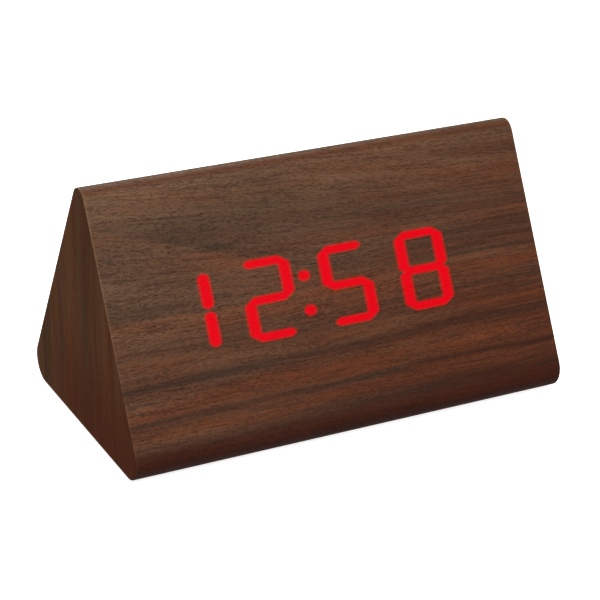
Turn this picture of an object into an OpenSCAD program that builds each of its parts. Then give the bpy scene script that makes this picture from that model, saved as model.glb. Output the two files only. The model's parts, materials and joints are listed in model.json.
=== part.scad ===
// Digital alarm clock in a triangular wood-grain case.
// The length runs along X, the numerals face -Y and the feet stand on z = 0.

/* [Case] */
// Length of the case from end to end
case_w = 150; // [146:1:180]
// Depth over the two rounded base edges
case_d = 84; // [81:0.5:96]
// Height of the case from its underside to the ridge
case_h = 81; // [77:0.5:94]
// Radius of the two long base edges
base_r = 7; // [5:0.25:9]
// Radius of the ridge
ridge_r = 5; // [3:0.25:8]
// Thickness of the wood-grain film
film_t = 0.5; // [0.3:0.05:0.8]
// Thickness of the two sloping boards and the base frame
board_t = 5; // [4.6:0.1:6]
// Thickness of the two end boards
end_t = 6; // [4:0.25:6.5]
// Diameter of a rubber foot
foot_d = 8; // [6:0.5:9]
// Height of a rubber foot
foot_t = 0.8; // [0.5:0.1:2]

/* [Display] */
// Hours that are lit
shown_hours = 12; // [10:1:12]
// Minutes that are lit
shown_minutes = 58; // [0:1:59]
// Height of a numeral
digit_h = 25.5; // [22:0.25:28]
// Width of a numeral
digit_w = 17.8; // [15:0.1:18.6]
// Distance from one numeral to the next
digit_pitch = 27.3; // [25:0.1:27.8]
// Width of the upright strokes
upright_w = 4.1; // [3:0.1:4.6]
// Thickness of the level strokes
level_t = 2.75; // [2.2:0.05:3.3]
// Gap between the upper and lower upright strokes
stroke_gap = 0.7; // [0.4:0.05:1]
// Radius on the corners of the strokes
stroke_r = 0.8; // [0.2:0.05:1]
// Width of a colon dot
colon_w = 4.2; // [3.6:0.1:5]
// Height of a colon dot
colon_h = 3.4; // [2.6:0.1:3.5]
// Distance between the two colon dots
colon_pitch = 10.9; // [8:0.1:13]
// Shift of the colon along the display, from its middle
colon_dx = -0.8; // [-1.5:0.1:1.5]
// Shift of the colon up the display, from its middle
colon_dy = -0.5; // [-1:0.1:1]
// From the left end of the case to the first numeral's place
display_margin = 16.85; // [16.7:0.05:30]
// Height of the middle of the display above the underside
display_z = 44.2; // [40:0.1:47]

/* [Controls] */
// Length of the rear control panel
panel_w = 92; // [88:0.5:100]
// Height of the rear control panel
panel_h = 24; // [23:0.25:28]
// Thickness of the panel rim on the case
rim_t = 1.2; // [0.8:0.1:2]
// Height of the middle of the panel above the underside
panel_z = 32; // [31:0.25:36]
// Diameter of a push button
button_d = 6; // [5:0.1:7]
// Distance from one button to the next
button_pitch = 12; // [11:0.1:12.5]
// How far a button stands out of the panel
button_out = 1; // [0.8:0.1:2]
// How far a button goes in
travel = 0.4; // [0.2:0.05:0.5]
// Bore of the power inlet
inlet_bore = 3.8; // [3.6:0.1:4.4]
// Diameter of the inlet's centre pin
inlet_pin = 1.3; // [1:0.05:1.5]

/* [Battery bay] */
// Diameter of an AAA cell
cell_d = 10.5; // [10.1:0.1:10.8]
// Length of an AAA cell with its stud
cell_l = 44.5; // [43:0.1:46]
// Length of a compressed contact spring
spring_l = 4.2; // [3.8:0.1:5.5]
// Thickness of the base cover
cover_t = 3.2; // [3:0.1:3.8]
// Thickness of the battery door
door_t = 1.6; // [1.3:0.1:1.8]

/* [Fits] */
// Gap round a part that drops into an opening
slip = 0.25; // [0.15:0.05:0.4]
// Glue line between the film and the boards
glue = 0.05; // [0.02:0.01:0.1]

/* [Hidden] */
$fn = 48;

// Slope of the front and back, from the line that touches both rounded edges
run_y = case_d/2 - base_r;
rise_z = case_h - ridge_r - base_r;
span = sqrt(run_y*run_y + rise_z*rise_z);
lean = (base_r - ridge_r)/span;
upright = sqrt(1 - lean*lean);
ny = (rise_z*upright - run_y*lean)/span;
nz = (run_y*upright + rise_z*lean)/span;
slope = atan2(ny, nz);
// Distance of that line from the middle of the underside, and where it meets the underside
reach = ny*run_y + nz*base_r + base_r;
edge_y = reach/ny;
core_y = reach/(1 + nz);

// Layers of the walls
core_t = film_t + glue;
shell_t = core_t + board_t;
tube_l = case_w - 2*(film_t + end_t);
hair = 0.002;

// Display
column_x = (digit_w - upright_w)/2;
bar_y = (digit_h - level_t)/2;
display_v = display_z/ny;
display_x = display_margin - case_w/2 + (3*digit_pitch + digit_w)/2;
box_rim = 2.2;
box_w = 3*digit_pitch + digit_w + 2*box_rim;
box_h = digit_h + 2*box_rim;
window_w = box_w + 2*slip;
window_h = box_h + 2*slip;
box_r = 2;
pcb_t = 1.6;
display_in = shell_t + glue;
led_l = 1.6;
led_t = 0.7;
sheet_t = 0.3;
lit_t = film_t/2;
well_wall = 0.7;
stroke_weld = 0.4*stroke_gap;
display_fix = [for (x = [-1, 1], y = [-1, 1]) [x*(window_w/2 + 3), y*(box_h/2 - 4)]];
LIT = [
  [1, 1, 1, 1, 1, 1, 0], [0, 1, 1, 0, 0, 0, 0], [1, 1, 0, 1, 1, 0, 1], [1, 1, 1, 1, 0, 0, 1],
  [0, 1, 1, 0, 0, 1, 1], [1, 0, 1, 1, 0, 1, 1], [1, 0, 1, 1, 1, 1, 1], [1, 1, 1, 0, 0, 0, 0],
  [1, 1, 1, 1, 1, 1, 1], [1, 1, 1, 1, 0, 1, 1]
];
shown = [floor(shown_hours/10), shown_hours % 10, floor(shown_minutes/10), shown_minutes % 10];

// Control panel and main board
panel_v = panel_z/ny;
spigot_w = panel_w - 16;
spigot_h = panel_h - 6;
spigot_wall = 1.5;
spigot_r = 2;
panel_r = 4;
board_r = 2;
panel_in = 0.8;
board_z = shell_t + 2.45;
board_w = panel_w - 8;
board_h = panel_h + 3;
boss_d = 4.4;
boss_in = spigot_wall + boss_d/2 + 0.2;
board_fix = [for (x = [-1, 1], y = [-1, 1]) [x*(spigot_w/2 - boss_in), y*(spigot_h/2 - boss_in)]];
inlet_x = -26;
inlet_w = 9;
buzzer_x = 24.5;
buzzer_d = 12;
buzzer_h = 6;
sound_d = 1.3;
mic_x = -18.4;
mic_d = 4;
mic_h = 1.6;
lead_x = -20;
button_top = rim_t + button_out;
button_foot = 3.1;
button_edge = 0.45;
button_gap = 0.2;
collar_out = 0.9;
collar_t = 0.7;
collar_gap = 0.4;
switch_w = 6;
switch_h = 3.5;
plunger_d = 3.4;
plunger_gap = 0.2;
plunger_in = 0.6;
switch_floor = 0.2;
chip_l = 17.9;
chip_w = 7.5;
chip_t = 2.3;
crystal_l = 11;
crystal_w = 4.4;
crystal_t = 3.4;
capacitor_d = 6.3;
capacitor_h = 8;
coin_d = 20;
coin_t = 3.2;
holder_t = 1;
bead_d = 2.4;
bead_z = 5;

// Battery bay and base
end_strip = 13;
foot_in = 4;
cover_w = case_w - 2*end_strip;
cover_d = 62;
cover_r = 3;
ledge = 4.6;
cell_pitch = cell_d + 0.4;
plate_t = 0.4;
bay_l = cell_l + spring_l + 2*plate_t;
bay_d = 4*cell_pitch;
bay_wall = 1.4;
seat = 0.15;
cell_z = door_t + 0.3 + cell_d/2;
bay_z = cell_z + cell_d/2 + 0.1;
door_w = bay_l + 4;
door_d = bay_d + 3.2;
hinge_y = door_d/2 + slip;
hook_x = 15;
hook_w = 6;
hook_back = 2;
hook_web = 1.65;
hook_rise = 1.3;
hook_gap = 0.4;
hook_l = 3.2;
hook_t = 0.9;
pocket_out = 1.8;
pocket_h = 4.4;
finger_r = 6;
finger_in = 1.1;
grip_n = 5;
grip_l = 18;
grip_t = 0.7;
grip_h = 0.25;
grip_in = 4.35;
grip_pitch = 1.6;
tab_w = 2;
tab_z = bay_z + bay_wall + 2.4;
rib_t = 0.8;
rib_h = 2.4;
brace_x = bay_l/2 + bay_wall - 0.1;
brace_l = cover_w/2 - ledge - 1 - brace_x;
stud_d = 3.8;
stud_l = 1;
cell_edge = 0.5;

// Screws
case_screw = 2.2;
cover_screw_l = 7;
rim_screw_l = 5.6;
board_screw = 1.9;
board_screw_l = 3.2;
screw_gap = 0.3;
screw_sink = 0.2;

// Colours
walnut = [0.33, 0.24, 0.18];
board_tan = [0.72, 0.58, 0.42];
black = [0.08, 0.08, 0.09];
steel = [0.75, 0.75, 0.77];
red = [0.95, 0.02, 0.06];
green = [0.08, 0.3, 0.16];
white = [0.9, 0.9, 0.88];

function bow(t, p) = pow(1 - t, 3)*p[0] + 3*t*pow(1 - t, 2)*p[1] + 3*t*t*(1 - t)*p[2] + t*t*t*p[3];
function unit(v) = v/norm(v);
function cell_y(i) = (i - 1.5)*cell_pitch;
// The stud points to +X on the even cells and to -X on the odd ones
function cell_way(i) = i % 2 == 0 ? 1 : -1;
function digit_x(i) = (i - 1.5)*digit_pitch;
// Places in the case from places on the two slopes: along, up the slope, out of it
function front_at(p) = [p[0], nz*p[1] - ny*p[2] - edge_y, ny*p[1] + nz*p[2] + foot_t];
function back_at(p) = [-p[0], edge_y - nz*p[1] + ny*p[2], ny*p[1] + nz*p[2] + foot_t];

// Frames: on the underside, on the front slope and on the back slope
module in_case() translate([0, 0, foot_t]) children();
module on_front() in_case() translate([0, -edge_y, 0]) rotate([slope, 0, 0]) children();
module at_display() on_front() translate([display_x, display_v, 0]) children();
module at_panel() rotate([0, 0, 180]) on_front() translate([0, panel_v, 0]) children();
module along_x(l) rotate([90, 0, 90]) linear_extrude(l, center = true) children();

// Rounded triangle of the case, moved inwards by t
module wedge(t) {
  rb = max(base_r - t, 0.4);
  rt = max(ridge_r - t, 0.4);
  cy = (reach - (t + rb)*(1 + nz))/ny;
  cz = (reach - t - rt)/nz;
  // The flats lie a hair inside the rounds, so that each round ends in a clean corner
  fb = rb - hair;
  ft = rt - hair;
  polygon([
    [-cy, t + hair], [cy, t + hair], [cy + fb*ny, t + rb + fb*nz], [ft*ny, cz + ft*nz],
    [-ft*ny, cz + ft*nz], [-cy - fb*ny, t + rb + fb*nz]
  ]);
  for (s = [-1, 1]) translate([s*cy, t + rb]) circle(rb);
  translate([0, cz]) circle(rt);
}

module rounded(w, h, r) {
  square([w - 2*r, h], center = true);
  square([w, h - 2*r], center = true);
  for (x = [-1, 1], y = [-1, 1]) translate([x*(w/2 - r), y*(h/2 - r)]) circle(r);
}

// Plate with rounded corners and a chamfer c round its upper face
module soft_plate(w, h, r, t, c) {
  linear_extrude(t - c) rounded(w, h, r);
  translate([0, 0, t - c]) {
    along_x(w - 2*r) polygon([[-h/2, 0], [h/2, 0], [h/2 - c, c], [c - h/2, c]]);
    rotate(90) along_x(h - 2*r) polygon([[-w/2, 0], [w/2, 0], [w/2 - c, c], [c - w/2, c]]);
    for (x = [-1, 1], y = [-1, 1]) translate([x*(w/2 - r), y*(h/2 - r), 0])
      cylinder(h = c, r1 = r, r2 = r - c);
  }
}

// Disc on z = 0 whose upper edge is round
module soft_disc(d, h, r) rotate_extrude() {
  square([d/2, h - r]);
  square([d/2 - r, h]);
  translate([d/2 - r, h - r]) circle(r);
}

// Block whose underside lies at z
module block(w, d, h, z = 0) translate([-w/2, -d/2, z]) cube([w, d, h]);

// Round tube along a line of points, none of whose steps runs along X
module tube(pts, r, sides) {
  last = len(pts) - 1;
  way = [for (i = [0:last]) unit(pts[min(i + 1, last)] - pts[max(i - 1, 0)])];
  ring = [
    for (i = [0:last], k = [0:sides - 1])
      let(a = unit(cross(way[i], [1, 0, 0])), b = cross(way[i], a), q = 360*k/sides)
        pts[i] + r*(cos(q)*a + sin(q)*b)
  ];
  walls = [
    for (i = [0:last - 1], k = [0:sides - 1])
      let(n = (k + 1) % sides) [i*sides + n, i*sides + k, (i + 1)*sides + k, (i + 1)*sides + n]
  ];
  caps = [[for (k = [0:sides - 1]) k], [for (k = [sides - 1:-1:0]) last*sides + k]];
  polyhedron(ring, concat(walls, caps), convexity = 4);
}

// Pan-head screw that goes down from z = 0
module pan_screw(d, l) {
  difference() {
    cylinder(h = 0.6*d, d = 1.9*d);
    for (q = [0, 90]) rotate(q) block(1.2*d, 0.25*d, d, 0.3*d);
  }
  translate([0, 0, -l]) cylinder(h = l, d = d);
}

// Countersunk screw whose head is level with z = 0
module flat_screw(d, l) {
  difference() {
    translate([0, 0, -0.5*d]) cylinder(h = 0.5*d, d1 = d, d2 = 1.9*d);
    for (q = [0, 90]) rotate(q) block(1.2*d, 0.25*d, d, -0.3*d);
  }
  translate([0, 0, -l]) cylinder(h = l - 0.5*d, d = d);
}

// Seat of that screw: clear hole, sunk head and a way out above it
module flat_seat(d, l) {
  translate([0, 0, -l]) cylinder(h = l, d = d + screw_gap);
  translate([0, 0, -0.5*d]) cylinder(h = 0.5*d, d1 = d + screw_gap, d2 = 1.9*d + screw_gap);
  cylinder(h = 2*screw_sink, d = 1.9*d + screw_gap);
}

// One of the seven strokes: top, upper right, lower right, bottom, lower left, upper left, middle.
// The upright ones stop short of the middle of the numeral by cut
module stroke(i, cut = stroke_gap/2) {
  hx = upright_w/2;
  hy = level_t/2;
  if (i == 0 || i == 3 || i == 6) {
    y = i == 0 ? bar_y : i == 3 ? -bar_y : 0;
    translate([0, y]) polygon([
      [-column_x, 0], [hx - column_x, hy], [column_x - hx, hy],
      [column_x, 0], [column_x - hx, -hy], [hx - column_x, -hy]
    ]);
  } else {
    sx = i < 3 ? 1 : -1;
    sy = i == 1 || i == 5 ? 1 : -1;
    scale([sx, sy]) translate([column_x, 0]) polygon([
      [0, bar_y], [hx, bar_y - hy], [hx, hy], [hx*cut/hy, cut],
      [-hx*cut/hy, cut], [-hx, hy], [-hx, bar_y - hy]
    ]);
  }
}

// Middle of each stroke, where its LED sits
function stroke_at(i) = i == 0 ? [0, bar_y] : i == 3 ? [0, -bar_y] : i == 6 ? [0, 0]
  : [i < 3 ? column_x : -column_x, i == 1 || i == 5 ? bar_y/2 : -bar_y/2];

// Lit strokes of one numeral, joined where their mitres meet. A lit middle stroke fills the gap
module numeral(place) translate([digit_x(place), 0]) {
  lit_row = LIT[shown[place]];
  cut = lit_row[6] == 1 ? hair : stroke_gap/2;
  offset(r = stroke_r, $fn = 16) offset(delta = -stroke_r - stroke_weld) offset(delta = stroke_weld)
    for (i = [0:6]) if (lit_row[i] == 1) stroke(i, cut);
}

module dot() {
  square([colon_w - colon_h, colon_h], center = true);
  for (s = [-1, 1]) translate([s*(colon_w - colon_h)/2, 0]) circle(d = colon_h);
}

function colon_at(s) = [colon_dx, colon_dy + s*colon_pitch/2];
module colon() for (s = [-1, 1]) translate(colon_at(s)) dot();

// Film that is lit from behind, set in the outer half of the wrap
module lit() at_display() translate([0, 0, -lit_t]) linear_extrude(lit_t) children();

// Openings in the underside and in the back slope
module cover_hole(z, h) in_case() translate([0, 0, z])
  linear_extrude(h) rounded(cover_w + 2*slip, cover_d + 2*slip, cover_r + slip);
module panel_hole() at_panel() translate([0, 0, -shell_t - 1])
  linear_extrude(shell_t + 2) rounded(spigot_w + 2*slip, spigot_h + 2*slip, spigot_r + slip);
module panel_fix() for (s = [-1, 1]) at_panel()
  translate([s*(panel_w/2 - 4), 0, rim_t - screw_sink]) children();
module cover_fix() for (x = [-1, 1], y = [-1, 1]) in_case()
  translate([x*(cover_w/2 - 3), y*(cover_d/2 - 3), screw_sink]) mirror([0, 0, 1]) children();

// Film folded round the front, the back and the underside
module grain_wrap() color(walnut) difference() {
  in_case() along_x(case_w) difference() {
    wedge(0);
    wedge(film_t);
  }
  at_display() translate([0, 0, -lit_t]) linear_extrude(1) {
    for (i = [0:3]) numeral(i);
    colon();
  }
  panel_hole();
  panel_fix() flat_seat(case_screw, rim_screw_l);
  cover_hole(-1, 2);
}

module end_film(side) color(walnut) in_case() translate([side*(case_w - film_t)/2, 0, 0])
  along_x(film_t) wedge(core_t);
module left_end_film() end_film(-1);
module right_end_film() end_film(1);

module end_board(side) color(board_tan) in_case() translate([side*(tube_l + end_t)/2, 0, 0])
  along_x(end_t) wedge(core_t);
module left_end_board() end_board(-1);
module right_end_board() end_board(1);

// Sloping board on the -Y side, mitred to the base frame and to the other board
module slope_board() in_case() along_x(tube_l) difference() {
  intersection() {
    wedge(core_t);
    polygon([[0, core_y], [-2*edge_y, -core_y], [-2*edge_y, 2*case_h], [0, 2*case_h]]);
  }
  wedge(shell_t);
}

module front_board() color(board_tan) difference() {
  slope_board();
  at_display() translate([0, 0, -shell_t - 1]) linear_extrude(shell_t + 2) rounded(window_w, window_h, box_r);
  for (p = display_fix) at_display() translate([p[0], p[1], -shell_t - 1])
    cylinder(h = 1.4 + board_screw_l, d = board_screw + 0.1);
}

module back_board() color(board_tan) difference() {
  rotate([0, 0, 180]) slope_board();
  panel_hole();
  panel_fix() translate([0, 0, -rim_screw_l - 0.2]) cylinder(h = rim_screw_l, d = case_screw + 0.1);
}

module base_frame() color(board_tan) difference() {
  in_case() along_x(tube_l) difference() {
    intersection() {
      wedge(core_t);
      polygon([[0, core_y], [2*edge_y, -core_y], [-2*edge_y, -core_y]]);
    }
    wedge(shell_t);
  }
  cover_hole(-1, cover_t + 1);
  in_case() block(cover_w - 2*ledge, cover_d - 2*ledge, shell_t + 2, -1);
  cover_fix() translate([0, 0, -cover_screw_l - 1]) cylinder(h = cover_screw_l + 1, d = case_screw + 0.1);
}

// Hook pockets in the lip that the door turns against
module hook_pockets() for (s = [-1, 1])
  translate([s*hook_x - hook_w/2 - hook_gap, bay_d/2 - 0.1, door_t])
    cube([hook_w + 2*hook_gap, hinge_y + pocket_out - bay_d/2, pocket_h]);

module base_cover() color(black) {
  difference() {
    in_case() {
      linear_extrude(cover_t) rounded(cover_w, cover_d, cover_r);
      block(bay_l + 2*bay_wall, bay_d + 2*bay_wall, bay_z + bay_wall);
      for (x = [-1, 1], y = [-1:1]) translate([x*(brace_x + brace_l/2), y*bay_d/3, 0])
        block(brace_l, rib_t, cover_t + rib_h);
    }
    in_case() {
      block(bay_l, bay_d, bay_z + 1, -1);
      block(door_w + 2*slip, door_d + 2*slip, door_t + seat + 1, -1);
      hook_pockets();
      translate([0, -hinge_y, -1]) cylinder(h = finger_in + 1, r = finger_r);
      for (i = [0, 3]) translate([bay_l/2, cell_y(i), bay_z - 1]) block(6*plate_t, tab_w + 0.6, bay_wall + 2);
    }
    cover_fix() flat_seat(case_screw, cover_screw_l);
  }
  in_case() for (i = [0:2]) translate([0, (cell_y(i) + cell_y(i + 1))/2, 0])
    block(bay_l - 2*(plate_t + slip), rib_t, rib_h + 0.1, bay_z - rib_h);
}

// Door that turns about its round back edge, with hooks over the lip of the cover
module battery_door() color(black) in_case() {
  along_x(door_w) {
    translate([-door_d/2, 0]) square([door_d - door_t/2, door_t]);
    translate([door_d/2 - door_t/2, door_t/2]) circle(d = door_t);
  }
  for (s = [-1, 1]) translate([s*hook_x, hinge_y - hook_back, 0]) {
    translate([-hook_w/2, 0, door_t/2]) cube([hook_w, hook_web, door_t/2 + hook_rise]);
    translate([-hook_w/2, 0, door_t + hook_rise - hook_t]) cube([hook_w, hook_l, hook_t]);
  }
  for (i = [0:grip_n - 1]) translate([0, grip_in - door_d/2 + i*grip_pitch, 0])
    block(grip_l, grip_t, 2*grip_h, -grip_h);
}

module rubber_feet() color(black)
  for (x = [-1, 1], y = [-1, 1]) translate([x*(case_w - end_strip)/2, y*(cover_d/2 - foot_in), foot_t])
    mirror([0, 0, 1]) soft_disc(foot_d, foot_t, foot_t/2);

module base_screws() color(steel) cover_fix() flat_screw(case_screw, cover_screw_l);

module aaa_cells() color(steel) in_case()
  for (i = [0:3]) translate([cell_way(i)*spring_l/2, cell_y(i), cell_z]) rotate([0, 90*cell_way(i), 0])
    translate([0, 0, -cell_l/2]) rotate_extrude() polygon([
      [0, 0], [cell_d/2 - cell_edge, 0], [cell_d/2, cell_edge], [cell_d/2, cell_l - stud_l - cell_edge],
      [cell_d/2 - cell_edge, cell_l - stud_l], [stud_d/2, cell_l - stud_l], [stud_d/2, cell_l], [0, cell_l]
    ]);

// Plates at both ends of the bay: pairs that link two cells, singles with a solder tab
module contact_plates() color(steel) in_case() {
  plate_h = cell_d - 1.5;
  plate_z = cell_z - plate_h/2;
  pair_w = cell_pitch + plate_h;
  for (i = [0, 2]) translate([(plate_t - bay_l)/2, cell_y(i) + cell_pitch/2, 0])
    block(plate_t, pair_w, plate_h, plate_z);
  translate([(bay_l - plate_t)/2, 0, 0]) {
    block(plate_t, pair_w, plate_h, plate_z);
    for (i = [0, 3]) translate([0, cell_y(i), 0]) {
      block(plate_t, plate_h, plate_h, plate_z);
      block(plate_t, tab_w, tab_z - plate_z, plate_z);
    }
  }
}

// Cone-shaped contact springs at the flat end of each cell
wire_r = 0.3;
coil_n = 3;
coil_r = 3.6;
coil_taper = 1.5;
coil = [
  for (k = [0:14*coil_n])
    let(f = k/(14*coil_n), r = coil_r - coil_taper*f, q = 360*coil_n*f)
      [wire_r + f*(spring_l - 2*wire_r), r*cos(q), r*sin(q)]
];
coil_gap = min([for (i = [0:len(coil) - 1], j = [0:len(coil) - 1]) if (j - i > 8) norm(coil[i] - coil[j])]);
echo(spring_gap = coil_gap - 2*wire_r);
module contact_springs() color(steel) in_case()
  for (i = [0:3]) translate([-cell_way(i)*(bay_l/2 - plate_t), cell_y(i), cell_z])
    rotate([0, 0, cell_way(i) > 0 ? 0 : 180]) tube(coil, wire_r, 8);

// Two wires from the solder tabs to the main board
lead_r = 0.7;
lead_pitch = 4;
lead_in = 3;
lead_gap = 0.1;
lead_rise = 9;
lead_drop = 8;
tab_gap = 0.05;
tab_lap = 1.2;
module battery_leads() color(red) for (i = [0, 3]) {
  pad_x = i == 0 ? lead_x : lead_x - lead_pitch;
  pad = back_at([pad_x, panel_v + board_h/2 - lead_in, -board_z - pcb_t - lead_gap]);
  tab = [bay_l/2 - plate_t - lead_r - tab_gap, cell_y(i), tab_z + foot_t - tab_lap];
  path = [tab, tab + [0, 0, lead_rise], pad - lead_drop*[0, ny, nz], pad];
  tube([for (k = [0:14]) bow(k/14, path)], lead_r, 8);
}

module display_board() color(green) at_display() translate([0, 0, -display_in - pcb_t])
  linear_extrude(pcb_t) difference() {
    rounded(window_w + 12, window_h + 5, board_r);
    for (p = display_fix) translate(p) circle(d = board_screw + 0.4);
  }

// Block with a well behind every stroke
module light_box() color(white) at_display() translate([0, 0, -display_in])
  linear_extrude(display_in - core_t - sheet_t) difference() {
    rounded(box_w, box_h, box_r);
    for (n = [0:3], i = [0:6]) translate([digit_x(n), 0]) offset(delta = -well_wall/2) stroke(i);
    colon();
  }

module segment_leds() color(red) at_display() translate([0, 0, -display_in]) {
  for (n = [0:3], i = [0:6]) translate([digit_x(n), 0]) translate(stroke_at(i)) block(led_l, led_l/2, led_t);
  for (s = [-1, 1]) translate(colon_at(s)) block(led_l, led_l/2, led_t);
}

module diffuser_sheet() color(white) at_display() translate([0, 0, -core_t - sheet_t])
  linear_extrude(sheet_t) rounded(box_w, box_h, box_r);

module hour_tens() color(red) lit() numeral(0);
module hour_units() color(red) lit() numeral(1);
module colon_dots() color(red) lit() colon();
module minute_tens() color(red) lit() numeral(2);
module minute_units() color(red) lit() numeral(3);

module display_screws() color(steel) for (p = display_fix)
  at_display() translate([p[0], p[1], -display_in - pcb_t]) mirror([0, 0, 1])
    pan_screw(board_screw, pcb_t + board_screw_l);

// Rear panel: rim on the film, spigot through the back board, bosses for the main board
module control_panel() color(black) difference() {
  at_panel() {
    soft_plate(panel_w, panel_h, panel_r, rim_t, rim_t/3);
    translate([0, 0, -panel_in]) linear_extrude(panel_in + 0.1) rounded(spigot_w, spigot_h, spigot_r);
    translate([0, 0, -shell_t]) linear_extrude(shell_t) difference() {
      rounded(spigot_w, spigot_h, spigot_r);
      square([spigot_w - 2*spigot_wall, spigot_h - 2*spigot_wall], center = true);
    }
    for (p = board_fix) translate([p[0], p[1], -board_z]) cylinder(h = board_z, d = boss_d);
  }
  at_panel() {
    for (i = [-1:1]) translate([i*button_pitch, 0, -2]) cylinder(h = 5, d = button_d + 2*button_gap);
    translate([inlet_x, 0, -2]) cylinder(h = 5, d = inlet_bore + 3);
    translate([mic_x, 0, -2]) cylinder(h = 5, d = sound_d);
    translate([buzzer_x, 0, -2]) cylinder(h = 5, d = sound_d);
    for (q = [0:60:300]) translate([buzzer_x, 0, -2]) rotate(q) translate([buzzer_d/4, 0, 0])
      cylinder(h = 5, d = sound_d);
    for (p = board_fix) translate([p[0], p[1], -board_z - 1])
      cylinder(h = 1.4 + board_screw_l, d = board_screw + 0.1);
  }
  panel_fix() flat_seat(case_screw, rim_screw_l);
}

module panel_screws() color(steel) panel_fix() flat_screw(case_screw, rim_screw_l);

// Button cap with a collar under the panel
module button(i) color(black) at_panel() translate([i*button_pitch, 0, 0]) {
  translate([0, 0, -button_foot]) soft_disc(button_d, button_foot + button_top, button_edge);
  translate([0, 0, -panel_in - collar_gap - collar_t]) cylinder(h = collar_t, d = button_d + 2*collar_out);
}
module set_button() button(-1);
module up_button() button(0);
module down_button() button(1);

module plunger(i) color(white) at_panel() translate([i*button_pitch, 0, switch_h - board_z - plunger_in])
  cylinder(h = board_z - switch_h + plunger_in - button_foot, d = plunger_d);
module set_plunger() plunger(-1);
module up_plunger() plunger(0);
module down_plunger() plunger(1);

module switch_bodies() color(black) at_panel() for (i = [-1:1]) translate([i*button_pitch, 0, -board_z])
  difference() {
    block(switch_w, switch_w, switch_h);
    translate([0, 0, switch_h - plunger_in - switch_floor - travel])
      cylinder(h = switch_h, d = plunger_d + 2*plunger_gap);
  }

module main_board() color(green) at_panel() translate([0, 0, -board_z - pcb_t])
  linear_extrude(pcb_t) difference() {
    rounded(board_w, board_h, board_r);
    for (p = board_fix) translate(p) circle(d = board_screw + 0.4);
  }

module board_screws() color(steel) for (p = board_fix)
  at_panel() translate([p[0], p[1], -board_z - pcb_t]) mirror([0, 0, 1])
    pan_screw(board_screw, pcb_t + board_screw_l);

// Socket for a round plug, with a stepped nose in the panel
nose_z = rim_t - 0.3;
module dc_inlet() color(black) at_panel() translate([inlet_x, 0, 0]) difference() {
  union() {
    block(inlet_w, inlet_w, board_z - panel_in - 0.1, -board_z);
    translate([0, 0, -board_z]) cylinder(h = board_z + nose_z, d = inlet_bore + 2.6);
  }
  translate([0, 0, 1 - board_z]) cylinder(h = board_z + 2, d = inlet_bore);
}

module inlet_contact() color(steel) at_panel() translate([inlet_x, 0, 1 - board_z]) {
  cylinder(h = board_z + nose_z - 2.5, d = inlet_pin);
  translate([0, 0, board_z + nose_z - 2.5]) cylinder(h = 0.3, d1 = inlet_pin, d2 = inlet_pin/2);
}

module buzzer() color(black) at_panel() translate([buzzer_x, 0, -board_z]) difference() {
  cylinder(h = buzzer_h, d = buzzer_d);
  translate([0, 0, buzzer_h - 2]) cylinder(h = 3, d = 2.2);
}

module microphone() color(steel) at_panel() translate([mic_x, 0, -board_z]) difference() {
  cylinder(h = mic_h, d = mic_d);
  translate([0, 0, mic_h - 0.6]) cylinder(h = 1, d = sound_d);
}

// Inner side of the main board, whose parts stand on its back
module on_board(x, y) at_panel() translate([x, y, -board_z - pcb_t]) mirror([0, 0, 1]) children();

module temperature_bead() color(black) on_board(board_w/2 - 4, board_h/2 - 3) {
  translate([0, 0, bead_z]) sphere(d = bead_d);
  for (s = [-1, 1]) translate([s*bead_d/4, 0, 0]) cylinder(h = bead_z, d = 0.5);
}

module controller_chip() color(black) on_board(-4, -3) {
  pin_pitch = chip_l/14;
  block(chip_l, chip_w, chip_t, 0.2);
  for (i = [0:13], s = [-1, 1]) translate([(i - 6.5)*pin_pitch, s*(chip_w/2 + 0.55), 0])
    block(pin_pitch/3, 1.6, 0.5);
}

module crystal() color(steel) on_board(-18, -4) linear_extrude(crystal_t)
  rounded(crystal_w, crystal_l, crystal_w/2 - 0.1);

module capacitor() color(black) on_board(lead_x - 9.5, 0) cylinder(h = capacitor_h, d = capacitor_d);

// Round holder whose rim is open at two sides
module coin_holder() color(black) on_board(coin_d, 0) difference() {
  cylinder(h = holder_t + coin_t + 0.4, d = coin_d + 2.4);
  translate([0, 0, holder_t]) cylinder(h = coin_t + 1, d = coin_d + 0.4);
  translate([0, 0, holder_t]) block(0.4*coin_d, 2*coin_d, coin_t + 1);
}

module coin_cell() color(steel) on_board(coin_d, 0) translate([0, 0, holder_t])
  cylinder(h = coin_t, d = coin_d);

// Flat cable between the plugs on the two boards
plug_h = 2.4;
plug_d = 4;
ribbon_x = 2;
ribbon_w = 10;
ribbon_t = 0.6;
ribbon_sag = 15;
plug_v = [display_v - window_h/2 + 1, panel_v + board_h/2 - 3.2];
module display_ribbon() color(white) {
  near = front_at([ribbon_x, plug_v[0], -display_in - pcb_t - plug_h - 0.05]);
  far = back_at([-ribbon_x, plug_v[1], -board_z - pcb_t - plug_h - 0.05]);
  path = [near, near + ribbon_sag*[0, ny, -nz], far - ribbon_sag*[0, ny, nz], far];
  mid = [for (k = [0:16]) let(p = bow(k/16, path)) [p[1], p[2]]];
  way = [for (k = [0:16]) unit(mid[min(k + 1, 16)] - mid[max(k - 1, 0)])];
  side = [for (w = way) ribbon_t/2*[-w[1], w[0]]];
  translate([ribbon_x, 0, 0]) along_x(ribbon_w) polygon(concat(
    [for (k = [0:16]) mid[k] + side[k]],
    [for (k = [16:-1:0]) mid[k] - side[k]]
  ));
}

module ribbon_plugs() color(white) {
  at_display() translate([ribbon_x - display_x, plug_v[0] - display_v, -display_in - pcb_t - plug_h])
    block(ribbon_w + 2, plug_d, plug_h);
  on_board(-ribbon_x, plug_v[1] - panel_v) block(ribbon_w + 2, plug_d, plug_h);
}

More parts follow.
